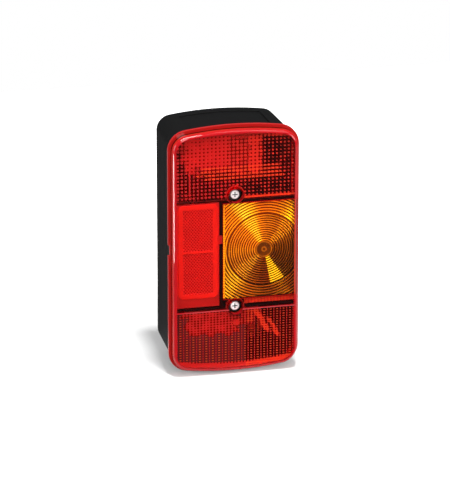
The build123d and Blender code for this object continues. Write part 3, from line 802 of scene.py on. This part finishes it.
boss_collars()
pad_sheet("upper_pads", field_outline(UPPER_FIELD_FOOT), PILLOW, PILLOW_STEPS, PILLOW_SWELL,
          pillow_pattern, PAD_FINISHES)
pad_sheet("lower_flutes", (field_outline(-LOWER_FIELD_HEAD) * (1, -1))[::-1], FLUTE, FLUTE_STEPS,
          FLUTE_SWELL, flute_pattern, PAD_FINISHES)
pad_sheet("gap_bridge", rectangle(*BRIDGE_BOX) * MM, (2.2 * MM, 6.4 * MM), (2, 2), (0.0, 0.0),
          plain_pattern, PAD_FINISHES)
pad_sheet("sill_ridges", rectangle(*SILL_BOX) * MM, (2.44 * MM, 5.0 * MM), (8, 2),
          (0.15 * MM, 0.0), ridge_pattern, PAD_FINISHES)


def ring_profile():
    """Section of the amber rings, from the axis outwards over the front and back along
    the flat rear: a low dome, then ridges of two straight flanks, with a flat gap
    after each zone."""
    front = SHEET_FRONT
    height = RING_ZONES[0][2]
    hub = np.linspace(0, 1, HUB_STEPS + 1)
    points = [(RING_HUB * t, front - height * t * t) for t in hub]
    radius = RING_HUB
    for count, pitch, height, crest in RING_ZONES:
        for _ in range(count):
            points.append((radius + pitch * crest, front))
            radius += pitch
            points.append((radius, front - height))
        radius += RING_GAP
        points.append((radius, front - height))
    rear = front - height - SHEET_THICKNESS
    return points + [(radius, rear), (0, rear)]


def window_outline():
    """Outline of the amber window's opening behind the face, inside its margins."""
    low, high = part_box("lens_amber")
    return rectangle(low.x + WINDOW_LEFT_MARGIN, HALF_WIDTH - FIELD_INSET,
                     low.z + WINDOW_MARGIN, high.z - WINDOW_MARGIN)


# Painted light and shade round the rings: bright and dark sectors for light that the prisms send
# back, at angles in degrees from +X towards +Z
INNER_PAINTED_SECTORS = (
    (-180, (0.74, 0.36, 0.18)), (-160, (0.50, 0.22, 0.20)), (-135, (0.36, 0.16, 0.25)),
    (-108, (0.27, 0.08, 0.07)), (-97, (0.18, 0.03, 0.03)), (-80, (0.18, 0.03, 0.03)),
    (-79, (0.82, 0.70, 0.32)), (-57, (0.82, 0.70, 0.32)), (-56, (0.09, 0.03, 0.02)),
    (-20, (0.13, 0.04, 0.02)), (10, (0.19, 0.06, 0.03)), (45, (0.40, 0.15, 0.07)),
    (85, (0.58, 0.23, 0.10)), (99, (0.80, 0.33, 0.13)), (108, (0.95, 0.70, 0.45)),
    (119, (0.95, 0.72, 0.55)), (132, (0.85, 0.36, 0.17)), (160, (0.70, 0.27, 0.13)),
    (180, (0.74, 0.36, 0.18)))
OUTER_PAINTED_SECTORS = (
    (-180, (0.81, 0.43, 0.18)), (-150, (0.75, 0.55, 0.35)), (-132, (0.75, 0.55, 0.35)),
    (-112, (0.43, 0.13, 0.07)), (-90, (0.25, 0.06, 0.03)), (-45, (0.22, 0.06, 0.03)),
    (0, (0.55, 0.20, 0.08)), (30, (1.0, 0.75, 0.22)), (50, (1.0, 0.78, 0.22)),
    (72, (0.92, 0.34, 0.12)), (95, (0.92, 0.30, 0.10)), (107, (0.95, 0.62, 0.30)),
    (120, (0.92, 0.88, 0.90)), (129, (1.0, 0.42, 0.15)), (145, (1.0, 0.40, 0.14)),
    (180, (0.81, 0.43, 0.18)))
JOINT_PAINTED_SECTORS = (
    (-180, (0.15, 0.06, 0.04)), (-140, (0.07, 0.025, 0.025)), (-95, (0.045, 0.015, 0.015)),
    (-56, (0.05, 0.02, 0.015)), (0, (0.11, 0.04, 0.03)), (50, (0.18, 0.08, 0.08)),
    (95, (0.15, 0.065, 0.065)), (140, (0.15, 0.065, 0.065)), (180, (0.15, 0.06, 0.04)))


def sector_colours(tree, turn, sectors):
    """Colour socket that runs through a ring of sectors as turn goes from 0 to 1."""
    stops = [((angle + 180) / 360, colour) for angle, colour in sectors]
    return colour_ramp(tree, turn, stops)


def paint_rings(tree, pattern):
    """Light ridges and dark joints, in sectors of painted light and painted shade."""
    inner, outer, joint = (sector_colours(tree, pattern["Turn"], sectors)
                           for sectors in (INNER_PAINTED_SECTORS, OUTER_PAINTED_SECTORS, JOINT_PAINTED_SECTORS))
    lines = mix(tree, pattern["Shade"], joint, (1, 1, 1, 1))
    sectors = mix(tree, pattern["Zone"], inner, outer)
    return multiply_colours(tree, lines, sectors)


def amber_rings():
    """Rings behind the amber window: their section turned about the bulb's axis, with
    a light and dark hub, and cut to the window."""
    (count, pitch, *_), (_, outer_pitch, *_) = RING_ZONES
    change = RING_HUB + count * pitch
    values = {"Centre X": RING_CENTRE[0], "Centre Z": RING_CENTRE[1], "Start": RING_HUB,
              "Pitch": pitch, "Change": change, "Outer Start": change + RING_GAP,
              "Outer Pitch": outer_pitch, "Low": 0.30, "High": 0.80}
    finish = optic("amber_rings", RINGS, values, paint_rings, 0.15, 0.15)
    hub_finishes = (plastic("hub_dark", (0.065, 0.018, 0.05), 0.3, bump=0.0),
                    plastic("hub_light", (0.27, 0.10, 0.08), 0.3, bump=0.0))
    points, faces = turned(ring_profile(), RING_CENTRE, RING_STEPS)
    rings = build("amber_rings", points, faces, finish, "lens",
                  crease=SHEET_CREASE)
    x, _, z = face_centres(rings.data).T
    away = np.hypot(x - RING_CENTRE[0], z - RING_CENTRE[1])
    hub_ring = (away / RING_HUB * HUB_STEPS).astype(int)
    hub_kinds = np.where(np.isin(hub_ring, HUB_LIGHT), 2, 1)
    finish_faces(rings.data, hub_finishes, np.where(away < RING_HUB, hub_kinds, 0))
    trim(rings, window_outline(), SHEET_FRONT - TRIM_REACH, SHEET_FRONT + TRIM_REACH)


amber_rings()
bead_finishes = (plastic("bead_orange", (0.75, 0.20, 0.15), 0.3, bump=0.0),
                 plastic("bead_yellow", (0.95, 0.60, 0.30), 0.3, bump=0.0))
pad_sheet("amber_beads", rectangle(*BEAD_BOX) * MM, (1.2 * MM, 1.9 * MM), (2, 6),
          (0.1 * MM, 0.1 * MM), bead_pattern, bead_finishes)


def red_moulding():
    """Copy of the red lens with two finishes: the flat panel that is looked through, which is every
    face at the depth of its front or of its inner face, and the rest, the thick walls, whose finish
    has bands of painted light and shade standing for light that runs along them."""
    mesh = nodes["lens_red"].data.copy()
    mesh.name = "red_moulding"
    mesh.materials.clear()
    mesh.materials.append(FINISHES["red_lens"])
    depth = -face_centres(mesh)[:, 1]
    panel = (depth > LENS_FRONT - FRONT_FLAT) | (np.abs(depth - INNER_FACE) < INNER_FLAT)
    finish_faces(mesh, [FINISHES["red_rim_painted_light"]], ~panel)
    piece = bpy.data.objects.new("red_moulding", mesh)
    bpy.context.scene.collection.objects.link(piece)
    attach(piece, "lens")
    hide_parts("lens_red")


red_moulding()


def amber_moulding():
    """Amber part of the lens: the section of its face, round edge and side wall
    carried straight along Z."""
    low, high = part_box("lens_amber")
    wall_x = high.x - LENS_SKIN
    rear = -low.y - AMBER_WALL
    edge = arc((high.x - EDGE_ROUND, LENS_FRONT - EDGE_ROUND), EDGE_ROUND, 0, 90, EDGE_STEPS)
    section = [(high.x, rear), *edge, (low.x, LENS_FRONT), (low.x, INNER_FACE),
               (wall_x, INNER_FACE), (wall_x, rear)]
    x, depth = np.array(section).T
    count = len(section)
    top = np.stack([x, -depth, np.full(count, high.z)], -1)
    bottom = np.stack([x, -depth, np.full(count, low.z)], -1)
    walls = [[i, (i + 1) % count, (i + 1) % count + count, i + count] for i in range(count)]
    faces = [list(range(count - 1, -1, -1)), list(range(count, 2 * count))] + walls
    piece = build("amber_moulding", np.concatenate([top, bottom]), faces,
                  FINISHES["amber_lens"], "lens", crease=30)
    # The round edge and side wall take the amber finish with bands of painted light and shade.
    rim = face_centres(piece.data)[:, 0] > edge[-1][0]
    rim[:2] = False  # its two ends
    finish_faces(piece.data, [FINISHES["amber_rim_painted_light"]], rim)
    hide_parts("lens_amber")


amber_moulding()


# Painted light and shade on the reflector's surround, from its foot to its top: darker at both ends
SURROUND_SPAN = (-39 * MM, 38 * MM)
SURROUND_PAINTED_STOPS = ((0.0, (0.30, 0.30, 0.40)), (0.08, (0.30, 0.30, 0.40)),
                  (0.14, (0.50, 0.32, 0.40)), (0.92, (0.50, 0.32, 0.40)),
                  (1.0, (0.30, 0.26, 0.36)))


def paint_pips(tree, pattern):
    """Pips lighter than the joints between them."""
    return mix(tree, pattern["Shade"], (0.17, 0.12, 0.18, 1), (0.46, 0.32, 0.40, 1))


def reflex_panel():
    """Reflex reflector in its red surround: a raised panel with round corners whose
    border and divider are smooth, round two sunk fields of staggered pips, with
    height = rise (1 + cos(x) cos(z)) / 2 above the fields' floor."""
    low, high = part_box("reflex_reflector")
    x, z = np.meshgrid(*(np.linspace(start, end, round((end - start) / REFLEX_GRID))
                         for start, end in REFLEX_SPAN))

    def inside(x, z):
        """Distances inside the panel's round-cornered edge, and inside its fields'."""
        dx = np.abs(x - (low.x + high.x) / 2) - ((high.x - low.x) / 2 - REFLEX_CORNER)
        dz = np.abs(z - (low.z + high.z) / 2) - ((high.z - low.z) / 2 - REFLEX_CORNER)
        corner = np.hypot(np.maximum(dx, 0), np.maximum(dz, 0))
        edge = REFLEX_CORNER - (corner + np.minimum(np.maximum(dx, dz), 0))
        bottom, top = REFLEX_DIVIDER
        middle, half = (bottom + top) / 2, (top - bottom) / 2
        square = np.maximum(dx, dz) + REFLEX_MARGIN - REFLEX_CORNER
        return edge, np.minimum(-square, np.abs(z - middle) - half)

    edge, field = inside(x, z)
    sunk = np.clip(field / REFLEX_SLOPE, 0, 1)
    raised = np.clip(edge / REFLEX_EDGE, 0, 1)
    pips = PIP_RISE * (1 + np.cos(2 * np.pi * x / PIP[0]) * np.cos(2 * np.pi * z / PIP[1])) / 2
    front = SHEET_FRONT - sunk * (REFLEX_STEP - pips) - (1 - raised) * REFLEX_RAISED
    back = np.full_like(x, -high.y + REFLEX_BACK_GAP)
    points, faces = closed_slab(np.stack([x, -front, z], -1), np.stack([x, -back, z], -1))
    panel = build("reflex_panel", points, faces, FINISHES["reflex_red"], "lens",
                  crease=60)
    x, _, z = face_centres(panel.data).T
    edge, field = inside(x, z)
    values = {"Pitch X": PIP[0], "Pitch Z": PIP[1], "Low": 0.1, "High": 0.55}
    finishes = (optic("reflex_red_pips", PIPS, values, paint_pips, 0.1, 0.3),
                banded("reflex_surround", "Z", *SURROUND_SPAN, SURROUND_PAINTED_STOPS, 0.3))
    finish_faces(panel.data, finishes, np.where(field > 0, 1, np.where(edge > 0, 0, 2)))
    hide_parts("reflex_reflector")


reflex_panel()


# ------------------------------------------------------- floor, light, view
FLOOR_REACH = 0.7
# Where the floor darkens, from and to a Y, and its glow: from and to a distance out
# from the lamp's middle, from and to a strength
FLOOR_AHEAD = (-0.050, -0.090)
FLOOR_BEHIND = (0.0, 0.05)
FLOOR_BEHIND_SHARE = 0.75
FLOOR_GLOW = (0.085, 0.17, 0.2, 1.0)

CAMERA_AZIMUTH = -13.3
CAMERA_ELEVATION = 19.0
CAMERA_TARGET = (-0.3, -30.0, -10.5)
CAMERA_DISTANCE = 2.591
CAMERA_LENS = 251
CAMERA_SENSOR = 36


def make_floor():
    """Pale floor under the lamp. Seen directly it glows, faintly near the lamp, where
    its shadow stays, and white farther out. Mirrored or through glass it is dark in
    front of the lamp, and mirrored it is darker behind it too."""
    z = lens_low.z
    points = [(-FLOOR_REACH, -FLOOR_REACH, z), (FLOOR_REACH, -FLOOR_REACH, z),
              (FLOOR_REACH, FLOOR_REACH, z), (-FLOOR_REACH, FLOOR_REACH, z)]
    mesh = bpy.data.meshes.new("floor")
    mesh.from_pydata(points, [], [(0, 1, 2, 3)])
    floor = bpy.data.objects.new("floor", mesh)
    bpy.context.scene.collection.objects.link(floor)
    material, tree, shader = new_material("floor")
    mesh.materials.append(material)
    shader.inputs["Roughness"].default_value = 1.0
    shader.inputs["Specular IOR Level"].default_value = 0.0
    shader.inputs["Emission Color"].default_value = (1, 1, 1, 1)
    ray = add_node(tree, "ShaderNodeLightPath").outputs
    x, y, _ = coordinates(tree)
    unseen = combine(tree, "MAXIMUM", ray["Is Glossy Ray"], ray["Is Transmission Ray"])
    ahead = combine(tree, "MULTIPLY", unseen, threshold(tree, y, *FLOOR_AHEAD))
    behind = combine(tree, "MULTIPLY", threshold(tree, y, *FLOOR_BEHIND), ray["Is Glossy Ray"])
    behind = combine(tree, "MULTIPLY", behind, FLOOR_BEHIND_SHARE)
    dark = combine(tree, "MAXIMUM", ahead, behind)
    colour = mix(tree, dark, (0.62, 0.62, 0.62, 1), (0.04, 0.04, 0.04, 1))
    tree.links.new(colour, shader.inputs["Base Color"])
    glow = threshold(tree, distance(tree, x, y), *FLOOR_GLOW)
    glow = combine(tree, "MULTIPLY", glow, ray["Is Camera Ray"])
    tree.links.new(glow, shader.inputs["Emission Strength"])


def make_world(level):
    """Studio round the lamp: one level of light on matt surfaces, white where it is seen
    directly, and dimmer mirrored or through glass, more so in front than behind."""
    world = bpy.data.worlds.new("studio")
    bpy.context.scene.world = world
    world.use_nodes = True
    tree = world.node_tree
    sky = tree.nodes["Background"]
    sky.inputs["Color"].default_value = (1, 1, 1, 1)
    ray = add_node(tree, "ShaderNodeLightPath").outputs
    y = coordinates(tree, "Generated")["Y"]
    strength = level
    for kind, front, back in (("Is Glossy Ray", 0.04, 0.10), ("Is Transmission Ray", 0.3, 0.8),
                              ("Is Camera Ray", 1.0, 1.0)):
        room = threshold(tree, y, -0.7, 0.1, front, back)
        strength = mix(tree, ray[kind], strength, room, data_type="FLOAT")
    tree.links.new(strength, sky.inputs["Strength"])


def softbox(name, place, target, width, height, power, glint=False, matt=False, roll=0):
    """Rectangular lamp at a place, facing a target, with its power in watts. A glint
    lamp shows only where it is mirrored, a matt one only where it is not. It is
    turned in its own plane by roll degrees."""
    lamp = bpy.data.lights.new(name, "AREA")
    lamp.shape = "RECTANGLE"
    lamp.size = width
    lamp.size_y = height
    lamp.energy = power
    box = bpy.data.objects.new(name, lamp)
    box.visible_camera = False
    box.visible_diffuse = not glint
    box.visible_glossy = not matt
    bpy.context.scene.collection.objects.link(box)
    box.location = place
    facing = (Vector(target) - Vector(place)).to_track_quat("-Z", "Y")
    box.rotation_euler = (facing @ Quaternion((0, 0, 1), math.radians(roll))).to_euler()


def make_camera():
    """Long lens above the lamp's front, a little to its left."""
    azimuth, elevation = math.radians(CAMERA_AZIMUTH), math.radians(CAMERA_ELEVATION)
    back = Vector((math.sin(azimuth) * math.cos(elevation),
                   -math.cos(azimuth) * math.cos(elevation), math.sin(elevation)))
    data = bpy.data.cameras.new("camera")
    data.lens = CAMERA_LENS
    data.sensor_width = CAMERA_SENSOR
    camera = bpy.data.objects.new("camera", data)
    bpy.context.scene.collection.objects.link(camera)
    camera.location = Vector(CAMERA_TARGET) * MM + CAMERA_DISTANCE * back
    camera.rotation_euler = back.to_track_quat("Z", "Y").to_euler()
    bpy.context.scene.camera = camera


make_camera()
make_floor()
make_world(0.35)
softbox("key", (0.9, -1.2, 1.4), (0, 0, 0), 1.0, 1.0, 5)
softbox("right", (0.90, -0.76, 0.25), (0, 0, 0), 0.42, 0.42, 6)
softbox("front", (-0.193, -1.310, 0.704), (0, 0, 0), 0.5, 0.5, 6)
softbox("above", (0.04, -0.68, 2.90), (0, 0, 0), 0.26, 0.26, 86, matt=True)
softbox("left", (-1.30, -0.20, 0.35), (0, 0, 0), 0.5, 0.5, 7)
softbox("corner", (-0.24, -0.41, 0.90), (0, -0.06, 0.08), 0.62, 0.28, 13, glint=True, roll=41)
softbox("crown", (0.367, -0.337, 0.911), (0, -0.06, 0.08), 0.6, 0.04, 1.2, glint=True, roll=-44)
softbox("left_strip", (-0.29, -0.12, -0.040), (-0.048, -0.06, -0.04), 0.045, 0.105, 0.9,
        glint=True)
softbox("right_strip", (0.1845, -0.164, -0.036), (0.048, -0.062, 0.01), 0.20, 0.117, 0.05,
        glint=True)
bpy.context.scene.view_settings.view_transform = "Standard"
